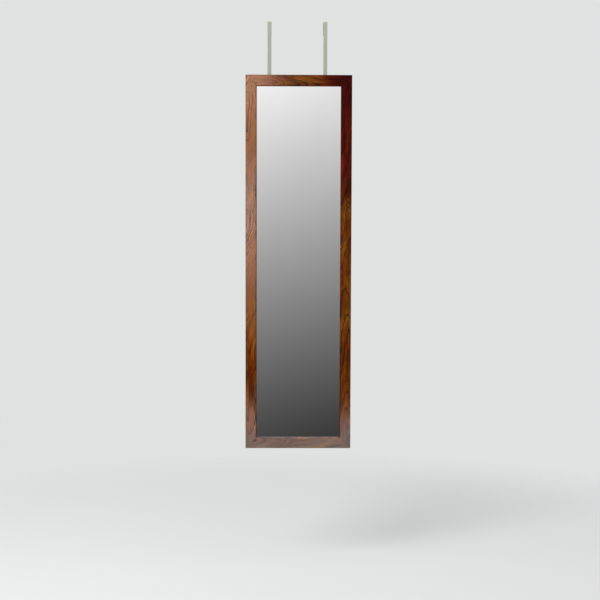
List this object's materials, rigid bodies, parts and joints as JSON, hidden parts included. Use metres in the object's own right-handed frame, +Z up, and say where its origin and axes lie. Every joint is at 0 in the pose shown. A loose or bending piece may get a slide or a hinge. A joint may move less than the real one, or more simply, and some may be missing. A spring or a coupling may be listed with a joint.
{
  "type": "over the door mirror",
  "caption": "Full length mirror in a mitred walnut frame, hung on a door's top edge by two slim steel hooks whose slotted straps set its height.",
  "frame": {"origin": "on the door's top edge, in the plane of the door's front face, above the middle of the frame's width", "axes": "+X to the right as one looks into the mirror, +Y from the viewer towards the door, +Z up"},
  "size_m": [0.381, 0.066, 1.537],
  "materials": {
    "walnut": "semi-gloss walnut grain",
    "mirror": "silvered glass",
    "card": "plain brown card",
    "hardboard": "smooth brown hardboard",
    "strap_steel": "satin zinc plated",
    "bright_steel": "bright zinc plated",
    "brass": "turned brass",
    "foam": "dark closed-cell foam",
    "bumper_rubber": "matt dark foam rubber"
  },
  "bodies": {
    "frame": {"top_rail": "walnut", "bottom_rail": "walnut", "left_stile": "walnut", "right_stile": "walnut", "corner_v_nails": "bright_steel", "mirror_glass": "mirror", "card_packing": "card", "backing_board": "hardboard", "retainer_points": "bright_steel", "left_hook_screws": "bright_steel", "left_hook_washers": "bright_steel", "left_hook_inserts": "brass", "right_hook_screws": "bright_steel", "right_hook_washers": "bright_steel", "right_hook_inserts": "brass", "upper_left_bumper": "bumper_rubber", "upper_right_bumper": "bumper_rubber", "lower_left_bumper": "bumper_rubber", "lower_right_bumper": "bumper_rubber"},
    "left_hook": {"left_hook": "strap_steel", "left_hook_top_pad": "foam", "left_hook_rear_pad": "foam"},
    "right_hook": {"right_hook": "strap_steel", "right_hook_top_pad": "foam", "right_hook_rear_pad": "foam"}
  },
  "joints": [
    {"name": "left_hook_slide", "type": "slide", "parent": "frame", "child": "left_hook", "axis": [0, 0, 1], "range_m": [0, 0.06]},
    {"name": "right_hook_slide", "type": "slide", "parent": "frame", "child": "right_hook", "axis": [0, 0, 1], "range_m": [0, 0.06]}
  ]
}
